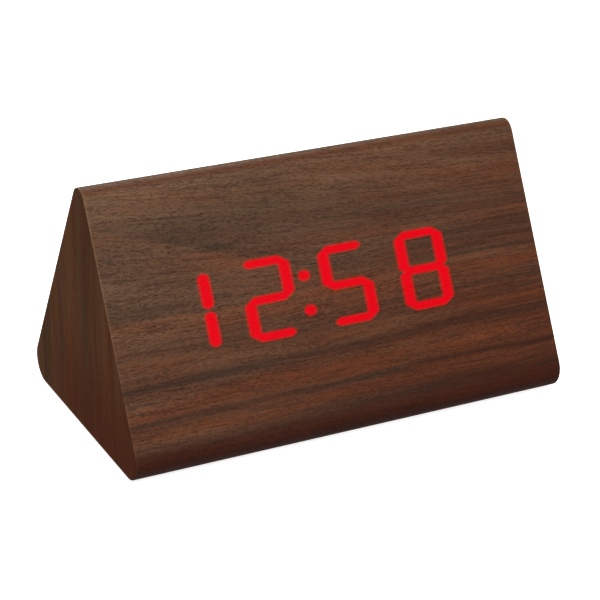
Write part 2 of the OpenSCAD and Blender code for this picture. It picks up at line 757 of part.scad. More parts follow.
grain_wrap();
left_end_film();
right_end_film();
front_board();
back_board();
base_frame();
left_end_board();
right_end_board();
base_cover();
battery_door();
rubber_feet();
base_screws();
aaa_cells();
contact_plates();
contact_springs();
battery_leads();
display_board();
light_box();
segment_leds();
diffuser_sheet();
hour_tens();
hour_units();
colon_dots();
minute_tens();
minute_units();
display_screws();
control_panel();
panel_screws();
set_button();
up_button();
down_button();
set_plunger();
up_plunger();
down_plunger();
switch_bodies();
main_board();
board_screws();
dc_inlet();
inlet_contact();
buzzer();
microphone();
temperature_bead();
controller_chip();
crystal();
capacitor();
coin_holder();
coin_cell();
display_ribbon();
ribbon_plugs();
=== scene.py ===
# %% [markdown]
# # A wood-grain desk clock in a triangular case
# The solids of this clock were drawn in CAD and packed as a frame: each node sits where it belongs, in
# metres, with +Z up and the numerals facing -Y. This lesson gives the clock its looks. It adds the printed
# walnut film, the glow of the numerals, moulded plastic, rubber and plated metal, and then a camera, a pale
# floor and soft light to see them by.

# %% Load the frame
import json
import math

import bpy
import numpy as np
from mathutils import Matrix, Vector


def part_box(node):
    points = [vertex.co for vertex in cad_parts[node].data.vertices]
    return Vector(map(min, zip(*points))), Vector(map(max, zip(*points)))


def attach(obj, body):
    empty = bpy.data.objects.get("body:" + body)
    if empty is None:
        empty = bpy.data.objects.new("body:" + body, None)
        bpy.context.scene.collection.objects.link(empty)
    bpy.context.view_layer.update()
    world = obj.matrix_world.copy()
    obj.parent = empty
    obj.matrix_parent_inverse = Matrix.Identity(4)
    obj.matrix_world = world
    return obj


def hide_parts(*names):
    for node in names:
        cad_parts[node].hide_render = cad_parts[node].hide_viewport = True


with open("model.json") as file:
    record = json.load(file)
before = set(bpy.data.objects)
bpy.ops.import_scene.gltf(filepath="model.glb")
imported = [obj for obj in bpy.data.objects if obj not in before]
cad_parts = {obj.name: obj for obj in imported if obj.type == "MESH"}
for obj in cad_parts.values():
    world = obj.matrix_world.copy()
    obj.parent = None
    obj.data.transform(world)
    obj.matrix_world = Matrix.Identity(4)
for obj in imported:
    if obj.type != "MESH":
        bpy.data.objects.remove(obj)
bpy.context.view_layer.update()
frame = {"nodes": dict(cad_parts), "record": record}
nodes = frame["nodes"]
scene = bpy.context.scene
mm = 0.001

# %% [markdown]
# ## The camera
# A product picture of a small clock is taken from a little above and to one side, with a long lens, so that
# the upright edges stay nearly parallel. The camera could be aimed with a Track To constraint, but a plain
# matrix keeps the small roll of the picture and leaves nothing to evaluate. Its columns are the directions
# right, up and back, and then the place. The angles, the distance and the lens were fitted until the outline
# of the case fell on its outline in the picture.

# %% Camera
camera_azimuth = math.radians(-27.552)
camera_elevation = math.radians(25.07)
camera_roll = math.radians(1.247)
camera_distance = 678.2 * mm
camera_target = np.array([0.4, 0.0, 30.4]) * mm
camera_sensor_mm = 36.0
camera_lens_mm = 125.78


def new_object(name, data):
    """An object at the origin, linked to the scene."""
    made = bpy.data.objects.new(name, data)
    scene.collection.objects.link(made)
    return made


def facing(place, target, roll=0.0):
    """Matrix of an object that looks from a place at a target. Back runs from the target to the place, level
    is +Z crossed with back, upward is back crossed with level, and roll turns these two into right and up."""
    back = np.subtract(place, target)
    back /= np.linalg.norm(back)
    level = np.cross([0, 0, 1], back)
    level /= np.linalg.norm(level)
    upward = np.cross(back, level)
    right = level * math.cos(roll) + upward * math.sin(roll)
    up = upward * math.cos(roll) - level * math.sin(roll)
    matrix = np.eye(4)
    matrix[:3] = np.column_stack([right, up, back, place])
    return Matrix(matrix.tolist())


camera_place = camera_target + camera_distance * np.array([
    math.sin(camera_azimuth) * math.cos(camera_elevation),
    -math.cos(camera_azimuth) * math.cos(camera_elevation),
    math.sin(camera_elevation),
])
camera = new_object("camera", bpy.data.cameras.new("camera"))
camera.data.sensor_width = camera_sensor_mm
camera.data.lens = camera_lens_mm
camera.matrix_world = facing(camera_place, camera_target, camera_roll)
scene.camera = camera
print("camera at, in mm:", np.round(camera_place / mm, 1).tolist())

# %% [markdown]
# ## Building materials from nodes
# Every finish below is a small tree of shader nodes. Adding nodes one by one takes many lines, so a helper
# class wraps the few kinds that are used again and again: arithmetic, noise, smooth steps and colour mixes.
# A value that is a socket gets linked, and a value that is a number is set on the socket itself.

# %% Screen colours
def linear(red, green, blue):
    """Colour for a shader from screen values of 0 to 255. The sRGB curve is turned back: c / 12.92 up to
    0.04045, and ((c + 0.055) / 1.055) ^ 2.4 above that."""
    screen = np.array([red, green, blue]) / 255
    light = np.where(screen <= 0.04045, screen / 12.92, ((screen + 0.055) / 1.055) ** 2.4)
    return (*light.tolist(), 1.0)


print("a middle screen grey in linear light:", round(linear(128, 128, 128)[0], 3))


# %% Node helper
class Tree:
    """Short calls that add nodes to one node tree and join them."""

    def __init__(self, tree):
        self.tree = tree

    def add(self, kind, **settings):
        """A new node of that kind, with its settings."""
        node = self.tree.nodes.new("ShaderNode" + kind)
        for name, value in settings.items():
            setattr(node, name, value)
        return node

    def put(self, socket, value):
        """Links the socket to a value that is a socket, or sets a plain value on it."""
        if isinstance(value, bpy.types.NodeSocket):
            self.tree.links.new(value, socket)
        else:
            socket.default_value = value

    def feed(self, sockets, **values):
        """Puts each value on the socket of its name, with a space for each underscore."""
        for name, value in values.items():
            self.put(sockets[name.replace("_", " ")], value)

    def math(self, operation, first, second=0.0):
        """One Math node."""
        node = self.add("Math", operation=operation)
        self.put(node.inputs[0], first)
        self.put(node.inputs[1], second)
        return node.outputs[0]

    def plus(self, first, *others):
        """The first value and all others added up."""
        for other in others:
            first = self.math("ADD", first, other)
        return first

    def minus(self, first, *others):
        """The first value less all others."""
        for other in others:
            first = self.math("SUBTRACT", first, other)
        return first

    def times(self, first, *others):
        """The first value and all others multiplied."""
        for other in others:
            first = self.math("MULTIPLY", first, other)
        return first

    def centred(self, value, size):
        """A value of 0 to 1 turned into a swing about 0: (value - 0.5) * size."""
        return self.times(self.minus(value, 0.5), size)

    def scaled(self, vector, factor):
        """A vector times a number."""
        node = self.add("VectorMath", operation="SCALE")
        self.put(node.inputs[0], vector)
        self.put(node.inputs["Scale"], factor)
        return node.outputs[0]

    def split(self, vector):
        """The x, y and z of a vector."""
        node = self.add("SeparateXYZ")
        self.put(node.inputs[0], vector)
        return node.outputs

    def object_mm(self):
        """Object coordinates in millimetres."""
        return self.scaled(self.add("TexCoord").outputs["Object"], 1 / mm)

    def noise(self, place, detail=1.0, roughness=0.5):
        """Noise of 0 to 1 that changes over about one unit of the place."""
        node = self.add("TexNoise")
        self.feed(node.inputs, Vector=place, Scale=1.0, Detail=detail, Roughness=roughness)
        return node.outputs["Fac"]

    def grain(self, along, across, length, width, seed, detail=1.0, roughness=0.5):
        """Noise drawn out along the grain: one step of it is length mm long and width mm wide."""
        place = self.add("CombineXYZ")
        x = self.math("DIVIDE", along, length)
        y = self.math("DIVIDE", across, width)
        self.feed(place.inputs, X=x, Y=y, Z=seed)
        return self.noise(place.outputs[0], detail, roughness)

    def step(self, value, start, end, low=0.0, high=1.0):
        """Smooth step: low up to start, high from end on, and an S-curve between them. Where end is the
        smaller of the two, the same holds going down."""
        node = self.add("MapRange", interpolation_type="SMOOTHSTEP")
        for socket, part in zip(node.inputs, (value, start, end, low, high)):
            self.put(socket, part)
        return node.outputs[0]

    def mix(self, share, first, second):
        """Colour that goes from the first to the second as the share goes from 0 to 1. The node's sockets for
        colours come after those for numbers and vectors."""
        node = self.add("Mix", data_type="RGBA")
        for socket, part in zip((node.inputs[0], node.inputs[6], node.inputs[7]), (share, first, second)):
            self.put(socket, part)
        return node.outputs[2]

    def curve(self, value, stops):
        """Grey value read off a line through (place, height) pairs, eased from each one to the next."""
        node = self.add("ValToRGB")
        ramp = node.color_ramp
        ramp.interpolation = "EASE"
        for place, height in stops[1:-1]:
            ramp.elements.new(place)
        for element, (place, height) in zip(ramp.elements, stops):
            element.position = place
            element.color = (height, height, height, 1.0)
        self.put(node.inputs[0], value)
        return node.outputs[0]

    def bump(self, height, distance_mm, strength):
        """Normal of a surface on which a height of 1 stands distance_mm out."""
        node = self.add("Bump")
        self.feed(node.inputs, Height=height, Distance=distance_mm * mm, Strength=strength)
        return node.outputs[0]

    def group(self, made, **values):
        """A shared node group placed here with its own values."""
        node = self.add("Group", node_tree=made)
        self.feed(node.inputs, **values)
        return node.outputs


print("node helper calls:", sum(not name.startswith("_") for name in vars(Tree)))


# %% New finishes and groups
def new_finish(name, **sockets):
    """A material whose Principled BSDF has its plain numbers set, its tree, and the shader's sockets."""
    material = bpy.data.materials.new(name)
    material.use_nodes = True
    made = Tree(material.node_tree)
    shader = material.node_tree.nodes["Principled BSDF"]
    made.feed(shader.inputs, **sockets)
    return material, made, shader.inputs


def new_group(name, takes, gives):
    """An empty node group, its tree, the sockets that it takes and those that it gives: numbers, and a colour
    where the name says so."""
    made = bpy.data.node_groups.new(name, "ShaderNodeTree")
    for words, side in ((takes, "INPUT"), (gives, "OUTPUT")):
        for word in words:
            kind = "NodeSocketColor" if word == "Colour" else "NodeSocketFloat"
            made.interface.new_socket(name=word, in_out=side, socket_type=kind)
    start = made.nodes.new("NodeGroupInput")
    end = made.nodes.new("NodeGroupOutput")
    return made, Tree(made), [start.outputs[word] for word in takes], end.inputs


print("materials so far:", len(bpy.data.materials))

# %% [markdown]
# ## Walnut grain as a shared group
# The case is covered with a film printed like walnut: broad growth bands that waver along the board, fine
# fibres, and short dark pores that lie along the grain. The same marks show on the folded film and on the
# two ends, only turned, so they are one node group. It takes a place along and across the grain in
# millimetres, and each mark is noise drawn out along the grain by its own length and width. A pore is a
# place where its noise rises over an edge, and where pores crowd together that edge is lower.

# %% Grain group
sway_mm = 7.0
wriggle_mm = 1.2
pore_edge_most = 0.64
pore_crowding = 0.2
pore_softness = 0.1
grain_group, tree, taken, given = new_group(
    "walnut_grain", ["Along", "Across"], ["Bands", "Fibres", "Pores"])
along, across = taken

sway = tree.grain(along, across, length=60, width=18, seed=1.5)
wriggle = tree.grain(along, across, length=13, width=5, seed=4.5)
swayed = tree.plus(across, tree.centred(sway, sway_mm), tree.centred(wriggle, wriggle_mm))
bands = tree.grain(along, swayed, length=240, width=7.5, seed=9.5, detail=3.0, roughness=0.55)
long_fibres = tree.grain(along, swayed, length=17, width=0.55, seed=2.5, detail=2.0)
short_fibres = tree.grain(along, swayed, length=1.8, width=0.22, seed=5.5)
fibres = tree.times(tree.plus(long_fibres, short_fibres), 0.5)
pore_field = tree.grain(along, swayed, length=1.1, width=0.19, seed=7.5)
pore_crowd = tree.grain(along, across, length=30, width=9, seed=3.5)
pore_edge = tree.minus(pore_edge_most, tree.times(pore_crowd, pore_crowding))
pores = tree.step(pore_field, pore_edge, tree.plus(pore_edge, pore_softness))
tree.feed(given, Bands=bands, Fibres=fibres, Pores=pores)
print("walnut_grain nodes:", len(grain_group.nodes))

# %% [markdown]
# ## The print: bands across the front
# The front of the clock has dark bands below the numerals and calmer wood behind them. A printer would scan
# a real board, but a picture goes soft close up, and nodes do not. So one curve across the grain says how
# dark the print is at each height of the slope, and slow noise lets the bands drift as they run along. High
# up the grain itself leans and falls a little to the right, which is a shear of the place across it. The
# print shows on the film and again round the lit numerals, so it is a group as well. What it takes is a
# place on the flat sheet: along from the middle of the clock, and across from the foot of the front slope.

# %% Front bands
print_group, tree, taken, given = new_group(
    "walnut_print", ["Along", "Across"], ["Colour", "Roughness", "Height"])
along, across = taken
lean_up = (54, 80)
leaning = tree.plus(across, tree.times(along, tree.step(across, *lean_up, high=0.095)))
bands, fibres, pores = tree.group(grain_group, Along=along, Across=leaning)

# Height up the slope in mm, and how dark the print is there. The places below 12 mm lie on the round foot,
# where the deep values are painted shade.
front_bands_and_foot_shade = [
    (0, 0.95), (10.5, 1.0), (12.5, 0.66), (14.5, 0.36), (16.5, 0.2), (18.5, 0.36), (20.5, 0.86), (22.5, 0.24),
    (25, 0.1), (28.5, 0.5), (31, 1.04), (33, 0.6), (35, 0.4), (40, 0.4), (44, 0.46), (48, 0.26),
    (54, 0.56), (66, 0.52), (76, 0.6), (80, 0.57), (85, 0.45), (90, 0.36), (98, 0.5), (110, 0.4),
]
front_reach = front_bands_and_foot_shade[-1][0]
drift_mm = 3.2
drift = tree.centred(tree.grain(along, across, length=50, width=30, seed=6.5), drift_mm)
front_place = tree.plus(across, drift)
leaning_place = tree.plus(leaning, drift)
banded_and_foot_shade = tree.curve(
    tree.math("DIVIDE", front_place, front_reach),
    [(height / front_reach, dark) for height, dark in front_bands_and_foot_shade],
)
print("places on the curve of the bands:", len(front_bands_and_foot_shade))

# %% [markdown]
# ## The print: a wedge and a patch
# Where a board is cut at a slant through its growth rings, a ring runs out in a point. The front shows such a
# wedge. Its edge comes in from the left and falls to the right, dark above and pale below. At the upper right
# a paler patch begins at a flatter line. Both are smooth steps over a slanting line, and the fibres fray
# that line, so that it does not look ruled. Each pair of numbers is where a step starts and ends, in mm.

# %% Wedge and patch
fray_mm = 2.5
fray = tree.centred(fibres, fray_mm)

wedge_start = 62
wedge_fall = 0.33
wedge_edge = (75, 76.4)
dark_fade = (92, 77.5)
# Painted light: the dark above the wedge is weakened at the far left, towards the paler upper left.
dark_left = (-74, -45)
pale_fade = (63, 73.5)
wedge_tip = (30, -30)
wedge_line = tree.plus(across, tree.times(tree.plus(along, wedge_start), wedge_fall), fray)
above = tree.times(
    tree.step(wedge_line, *wedge_edge),
    tree.step(wedge_line, *dark_fade),
    tree.step(along, *dark_left, low=0.2),
)
below = tree.times(tree.step(wedge_line, *pale_fade), tree.step(wedge_line, *reversed(wedge_edge)))
wedge = tree.times(tree.minus(above, below), tree.step(along, *wedge_tip, high=0.2))

patch_fall = 0.1
patch_edge = (82.2, 83.6)
patch_left = (-15, 5)
patch_right = (52, 30)
patch_top = (97, 90)
patch_line = tree.plus(across, tree.times(along, patch_fall), fray)
far_patch = tree.times(
    tree.step(patch_line, *patch_edge),
    tree.step(along, *patch_left, high=0.15),
    tree.step(along, *patch_right, low=0.7),
    tree.step(across, *patch_top),
)
print("walnut_print nodes so far:", len(print_group.nodes))

# %% [markdown]
# ## The print: streaks and corners
# Long thin streaks lie over the bands and grow stronger to the right. The upper left corner is paler, as
# painted light, and the middle is paler too. The foot goes from paler at the left, as painted light, to
# darker at the right, as painted shade, and the right side is darker too, as painted shade, but for a lighter
# strip at the upper right of the numerals. All of these add up to one number, the darkness of the print: 0 is
# pale and 1 is deep. Past the ridge the curve of the front bands is level, so the shared bands count for more
# there.

# %% Darkness
noise_span = (0.3, 0.7)
band_span = (0.32, 0.68)
past_ridge = (96, 112)
band_share = tree.step(across, *past_ridge, low=0.18, high=0.36)
band_swing = tree.times(tree.step(bands, *band_span, low=-1.0), band_share)

streaks_right = (-20, 60)
streaks_top = (75, 55)
streaks_foot = (20, 40)
streaks = tree.grain(along, leaning_place, length=70, width=1.3, seed=13.5)
streak_swing = tree.times(
    tree.step(streaks, *noise_span, low=-0.5, high=0.5),
    tree.step(along, *streaks_right, low=0.05, high=0.42),
    tree.step(across, *streaks_top, low=0.2),
    tree.step(across, *streaks_foot, low=0.7),
)

# Painted light: the upper left corner is made paler.
corner_up = (72, 84)
corner_left = (-15, -60)
painted_light_corner = tree.times(tree.step(across, *corner_up), tree.step(along, *corner_left, high=0.32))

# Painted light and shade: the lowest strip is made paler at the left and darker at the right.
foot_top = (20, 14)
foot_right = (-70, 40)
painted_foot_light_and_shade = tree.times(
    tree.step(across, *foot_top), tree.step(along, *foot_right, low=-0.12, high=0.34))

# Painted shade: the right side is made darker, from just above the foot upwards.
right_side = (25, 75)
right_foot = (21, 27)
painted_shade_right = tree.times(tree.step(along, *right_side, high=0.14), tree.step(across, *right_foot))

strip_right = (20, 60)
strip_foot = (54, 66)
strip_top = (84, 77)
lighter_strip = tree.times(
    tree.step(along, *strip_right, high=0.2), tree.step(across, *strip_foot), tree.step(across, *strip_top))

middle_left = (-52, -25)
middle_right = (42, 15)
middle_foot = (42, 50)
middle_top = (79, 70)
paler_middle = tree.times(
    tree.step(along, *middle_left),
    tree.step(along, *middle_right),
    tree.step(across, *middle_foot),
    tree.step(across, *middle_top, high=0.13),
)

darkness = tree.plus(banded_and_foot_shade, wedge, band_swing, streak_swing, painted_foot_light_and_shade, painted_shade_right)
darkness = tree.minus(darkness, far_patch, painted_light_corner, lighter_strip, paler_middle)
print("walnut_print nodes so far:", len(print_group.nodes))

# %% [markdown]
# ## The print: red and grey
# Walnut is more than one brown. Low down and to the right the front is reddish, and towards the ridge it is
# greyer, as a painted sheen that fades down and to the right; the redder foot at the right is painted shade.
# Dark wood also looks greyer than pale wood. A second number, the share of grey, holds all of this and is
# kept apart from the darkness, so that each can be tuned without the other.

# %% Grey share
grey_middle = 0.5
grey_from = 60
grey_rise = 0.009
grey_most = 0.32
grey_back = (98, 125)
painted_sheen_fall = 0.003
dark_grey = 0.4
wedge_red = 0.12
# Painted sheen: the print is made greyer towards the ridge, and less grey, so redder, further to the right.
painted_sheen_up = tree.math("MINIMUM", tree.times(tree.minus(across, grey_from), grey_rise), grey_most)
redder_back = tree.step(across, *grey_back, high=0.3)
patches = tree.grain(along, leaning_place, length=34, width=3.5, seed=8.5, detail=2.0)
patch_swing = tree.step(patches, *noise_span, low=-0.15, high=0.15)

# Painted shade: the foot is made redder towards the right.
red_foot = (30, 16)
red_right = (0, 60)
painted_shade_red_foot = tree.times(tree.step(across, *red_foot), tree.step(along, *red_right, high=0.16))

grey_share = tree.plus(grey_middle, painted_sheen_up, patch_swing, tree.centred(darkness, dark_grey))
grey_share = tree.minus(
    grey_share, redder_back, tree.times(along, painted_sheen_fall), tree.times(below, wedge_red), painted_shade_red_foot)
print("walnut_print nodes so far:", len(print_group.nodes))

# %% [markdown]
# ## The print: its colours
# The two numbers now choose a colour between a pale and a deep walnut, each in red and in grey. The round
# foot is made redder, as painted shade where it turns down. The film is folded over the ridge, which shows a
# reddish line with a tan top. Fibres and pores go on last, as they would in real wood, and the film's cut
# edges at the two ends get a painted highlight of paler tan. Pores are duller than the rest and lie lower,
# so they feed the roughness and the height too.

# %% Print colours
pale_red = linear(118, 64, 38)
pale_grey = linear(125, 96, 73)
deep_red = linear(68, 35, 22)
deep_grey = linear(74, 56, 43)
colour = tree.mix(
    darkness, tree.mix(grey_share, pale_red, pale_grey), tree.mix(grey_share, deep_red, deep_grey))

# Painted shade: the round foot turns down, and its print is made a deeper red there.
painted_foot_shade_span = (14, 8)
painted_foot_shade_red = linear(84, 35, 20)
colour = tree.mix(tree.step(across, *painted_foot_shade_span, high=0.75), colour, painted_foot_shade_red)

ridge_front = (89.4, 92)
ridge_back = (103, 95)
ridge_turn = (92, 94.5)
ridge_red = linear(92, 48, 21)
ridge_tan = linear(97, 63, 32)
over_ridge = tree.times(tree.step(across, *ridge_front), tree.step(front_place, *ridge_back, high=0.8))
colour = tree.mix(over_ridge, colour, tree.mix(tree.step(across, *ridge_turn), ridge_red, ridge_tan))

fibre_span = (0.42, 0.66)
fibre_brown = linear(44, 27, 20)
pores_right = (10, 70)
pore_brown = linear(32, 21, 16)
colour = tree.mix(tree.step(fibres, *fibre_span, high=0.56), colour, fibre_brown)
pore_share = tree.times(pores, tree.step(along, *pores_right, low=0.54, high=0.38))
colour = tree.mix(pore_share, colour, pore_brown)

# Painted highlight: the film's cut edges at the two ends are made a paler tan, more so higher up.
cut_edge = (74.3, 74.9)
edge_highlight_rise = (15, 70)
edge_highlight_tan = linear(150, 110, 78)
edge_highlight_strength = tree.step(across, *edge_highlight_rise, low=0.06, high=0.3)
painted_edge_highlight = tree.step(tree.math("ABSOLUTE", along), *cut_edge, high=edge_highlight_strength)
tree.feed(
    given,
    Colour=tree.mix(painted_edge_highlight, colour, edge_highlight_tan),
    Roughness=tree.step(pores, 0.0, 1.0, low=0.44, high=0.62),
    Height=tree.minus(fibres, pores),
)
print("walnut_print nodes:", len(print_group.nodes))

# %% [markdown]
# ## The film on the front, the ridge, the back and the underside
# The film is satin: a middling roughness that the pores break up, and a very shallow bump. Its mesh carries
# a UV map in metres along the flat sheet, and the print reads its place from that. Object coordinates would
# smear the print where the film is folded.

# %% Film finish
film_bump = {"distance_mm": 0.05, "strength": 0.6}


def sheet_print(tree):
    """The print at the place that the UV map called sheet gives, turned into millimetres."""
    sheet_map = tree.add("UVMap", uv_map="sheet")
    along, across, _ = tree.split(tree.scaled(sheet_map.outputs[0], 1 / mm))
    return tree.group(print_group, Along=along, Across=across)


film_finish, tree, film = new_finish("walnut_film", Specular_IOR_Level=0.12)
colour, rough, height = sheet_print(tree)
tree.feed(film, Base_Color=colour, Roughness=rough, Normal=tree.bump(height, **film_bump))
print("walnut_film nodes:", len(film_finish.node_tree.nodes))

# %% [markdown]
# ## The film on the two ends
# Each end carries a flat piece of the same film with its grain upright, which reads darker and smoother than
# the front. Warm and cool streaks lie side by side in it, and it reddens towards the foot, less so at the
# back. These pieces are flat, so Object coordinates are enough: the height is the place along the grain and
# the depth is the place across it. Some of x is added to that, which gives the two ends different wood.

# %% End film finish
end_shift = 3.1
streak_span = (0.38, 0.62)
warm_pale = linear(121, 71, 36)
warm_deep = linear(98, 57, 30)
cool_pale = linear(116, 79, 52)
cool_deep = linear(91, 62, 40)
end_finish, tree, end_film = new_finish("walnut_end_film", Specular_IOR_Level=0.03)
x, y, z = tree.split(tree.object_mm())
bands, fibres, pores = tree.group(
    grain_group, Along=z, Across=tree.plus(y, tree.times(x, end_shift)))
streaks = tree.grain(z, y, length=90, width=2.6, seed=12.5, detail=2.0)
deep = tree.step(bands, *band_span)
warm = tree.mix(deep, warm_pale, warm_deep)
cool = tree.mix(deep, cool_pale, cool_deep)
colour = tree.mix(tree.step(streaks, *streak_span), warm, cool)

end_red_up = (40, 6)
end_red_back = (34, 6)
end_red = linear(99, 43, 18)
reddened = tree.times(tree.step(z, *end_red_up), tree.step(y, *end_red_back, low=0.05, high=0.8))
colour = tree.mix(reddened, colour, end_red)

end_fibre_span = (0.4, 0.7)
end_fibre_brown = linear(48, 30, 21)
end_pore_share = 0.25
end_pore_brown = linear(38, 25, 18)
end_rough_span = (0.2, 0.8)
colour = tree.mix(tree.step(fibres, *end_fibre_span, high=0.42), colour, end_fibre_brown)
colour = tree.mix(tree.times(pores, end_pore_share), colour, end_pore_brown)
tree.feed(
    end_film,
    Base_Color=colour,
    Roughness=tree.step(fibres, *end_rough_span, low=0.46, high=0.58),
    Normal=tree.bump(fibres, distance_mm=0.02, strength=0.25),
)
print("walnut_end_film nodes:", len(end_finish.node_tree.nodes))

# %% [markdown]
# ## The outline of the case
# Cut across, the case is a triangle with two rounded base edges and a rounded ridge. The outline could be
# drawn as a curve, but the film needs to know how far along the sheet each point lies, so it is worked out
# here as rows of points. The slope comes from the line that touches two circles of different size: the angle
# between their centres, less the lean that the difference of radii gives.

# %% Outline
base_radius = 7 * mm
ridge_radius = 5 * mm
film_low, film_high = (np.array(corner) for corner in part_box("grain_wrap"))
case_w, case_d, case_h = film_high - film_low
underside = film_low[2]
run = case_d / 2 - base_radius
rise = case_h - base_radius - ridge_radius
slope = math.atan2(rise, run) - math.asin((base_radius - ridge_radius) / math.hypot(run, rise))
front_angle = math.pi / 2 + slope
back_angle = math.pi / 2 - slope
base_turn = math.pi - slope
base_tangent = base_radius * math.tan(base_turn / 2)
corner_y = run + base_tangent


def round_edge(y, z, radius, start, end, steps=14):
    """Points on a round edge: centre + radius * (cos a, sin a), with the angle a from start to end."""
    angle = np.linspace(start, end, steps + 1)
    return np.array([y, z]) + radius * np.column_stack([np.cos(angle), np.sin(angle)])


def on_slope(x, v, h, way):
    """Place on a slope: x to the side, v up the slope from its sharp foot, h out of it. way is -1 for the
    front slope and 1 for the back one."""
    y = way * (corner_y - math.cos(slope) * v + math.sin(slope) * h)
    z = underside + math.sin(slope) * v + math.cos(slope) * h
    return np.stack(np.broadcast_arrays(x, y, z), axis=-1)


# Angles go from +Y towards +Z, so straight down is 1.5 pi or -0.5 pi
front_round = round_edge(-run, underside + base_radius, base_radius, 1.5 * math.pi, front_angle)
ridge_round = round_edge(0, underside + case_h - ridge_radius, ridge_radius, front_angle, back_angle)
back_round = round_edge(run, underside + base_radius, base_radius, back_angle, -0.5 * math.pi)
print("slope in degrees:", round(math.degrees(slope), 2), "foot of the slope at y =", round(corner_y / mm, 2))

# %% [markdown]
# ## The folded film: a grid with two openings
# One sheet of film runs from under the front edge, up the front, over the ridge, down the back and along the
# underside. It has an opening for the base cover and one for the rear panel. A Boolean modifier could cut
# them, but it leaves ragged faces. Here the film is a grid with lines on the edges of the openings, and the
# faces between these are left out. Columns run along the clock, and rows run round the outline. The corners
# of the base opening are round, so the rows beside it follow a quarter circle there.

# %% Columns along the clock
film_t = 0.5 * mm
cover_gap = 0.25 * mm
cover_corner = 3.25 * mm
cover_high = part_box("base_cover")[1]
cover_half_w = cover_high[0] + cover_gap
cover_half_d = cover_high[1] + cover_gap
panel_rise = 32 * mm
panel_v = panel_rise / math.sin(slope)
panel_half_w = 38.25 * mm
panel_half_h = 9.25 * mm
spare_columns = [20 * mm, 68 * mm]
corner_steps = 7

corner_arc = cover_half_w - cover_corner + cover_corner * np.sin(np.linspace(0, math.pi / 2, corner_steps))
half_columns = np.unique(np.concatenate([[0, panel_half_w, case_w / 2], spare_columns, corner_arc]))
columns = np.concatenate([-half_columns[:0:-1], half_columns])
print("columns:", len(columns))


# %% Rows round the outline
def flat_rows(start, end, lengths):
    """Points on the flat between two round edges: start + length * direction."""
    way = (end - start) / np.linalg.norm(end - start)
    return start + np.array(lengths)[:, None] * way


front_row_n = 9
front_shares = np.linspace(0.1, 0.9, front_row_n)
front_len = np.linalg.norm(ridge_round[0] - front_round[-1])
to_panel = front_len + base_tangent - panel_v
outline = np.concatenate([
    front_round,
    flat_rows(front_round[-1], ridge_round[0], front_len * front_shares),
    ridge_round,
    flat_rows(ridge_round[-1], back_round[0], [to_panel - panel_half_h, to_panel + panel_half_h]),
    back_round,
    flat_rows(back_round[-1], front_round[0], [run - cover_half_d, run + cover_half_d]),
])
row_n = len(outline)
panel_row = len(front_round) + front_row_n + len(ridge_round)
cover_row = row_n - 2

points = np.zeros((len(columns), row_n, 3))
points[..., 0] = columns[:, None]
points[..., 1:] = outline
into_corner = np.clip(np.abs(columns) - (cover_half_w - cover_corner), 0, cover_corner)
cover_edge = cover_half_d - cover_corner + np.sqrt(cover_corner ** 2 - into_corner ** 2)
points[:, cover_row, 1] = cover_edge
points[:, cover_row + 1, 1] = -cover_edge

middle = np.abs(columns[:-1] + columns[1:]) / 2
kept = np.ones((len(columns) - 1, row_n), bool)
kept[middle < panel_half_w, panel_row] = False
kept[middle < cover_half_w, cover_row] = False
print("rows:", row_n, "faces left out:", int((~kept).sum()))

# %% [markdown]
# ## The folded film: from grid to sheet
# The UV map holds metres along the sheet, so the print runs over the rounded edges without a break. It is
# the length of the outline so far, shifted until it agrees with the height on the front slope. Solidify
# gives the film its thickness, inwards, a small bevel takes the sharpness off the cut edges, and weighted
# normals keep the flat faces flat beside it.


# %% Grid piece
def grid_piece(name, points, sheet=None, kept=None, glow=None):
    """Mesh object from a grid of points that is closed round its rows: one quad for each grid cell that is
    kept. sheet gives each corner its UV place, and glow gives each point its share of light."""
    column_n, row_n = points.shape[:2]
    i, j = np.meshgrid(np.arange(column_n - 1), np.arange(row_n), indexing="ij")
    corner_i = np.stack([i, i + 1, i + 1, i], axis=-1)
    corner_j = np.stack([j, j, j + 1, j + 1], axis=-1)
    if kept is not None:
        corner_i, corner_j = corner_i[kept], corner_j[kept]
    used, quads = np.unique(corner_i * row_n + corner_j % row_n, return_inverse=True)
    quads = quads.reshape(-1, 4)
    mesh = bpy.data.meshes.new(name)
    mesh.from_pydata(points.reshape(-1, 3)[used], [], quads)
    if sheet is not None:
        place = sheet[corner_i, corner_j].reshape(-1, 2)
        mesh.uv_layers.new(name="sheet").uv.foreach_set("vector", place.astype(np.float32).ravel())
    if glow is not None:
        mesh.attributes.new("glow", "FLOAT", "POINT").data.foreach_set("value", glow.ravel()[used])
    mesh.polygons.foreach_set("use_smooth", np.ones(len(quads), bool))
    return new_object(name, mesh)


print("grid cells of the film:", kept.size, "of which are kept:", int(kept.sum()))

# %% Folded film
cut_edge_r = 0.16 * mm
cut_edge_steps = 2
cut_edge_angle = math.radians(60)

ring = np.concatenate([points, points[:, :1]], axis=1)
sheet_len = np.cumsum(np.linalg.norm(np.diff(ring[..., 1:], axis=1), axis=2), axis=1)
sheet_len = np.concatenate([np.zeros((len(columns), 1)), sheet_len], axis=1)
sheet_len += base_tangent - base_radius * base_turn
sheet = np.stack([np.broadcast_to(columns[:, None], sheet_len.shape), sheet_len], axis=-1)

film_sheet = grid_piece("film_sheet", points, sheet, kept)
film_sheet.data.materials.append(film_finish)
thick = film_sheet.modifiers.new("film thickness", "SOLIDIFY")
thick.thickness = film_t
thick.offset = -1.0
soften = film_sheet.modifiers.new("cut edges", "BEVEL")
soften.width = cut_edge_r
soften.segments = cut_edge_steps
soften.limit_method = "ANGLE"
soften.angle_limit = cut_edge_angle
film_sheet.modifiers.new("even shading", "WEIGHTED_NORMAL")
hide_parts("grain_wrap")
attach(film_sheet, "clock")
print("film quads:", len(film_sheet.data.polygons), "sheet length in mm:", round(np.ptp(sheet_len) / mm, 1))

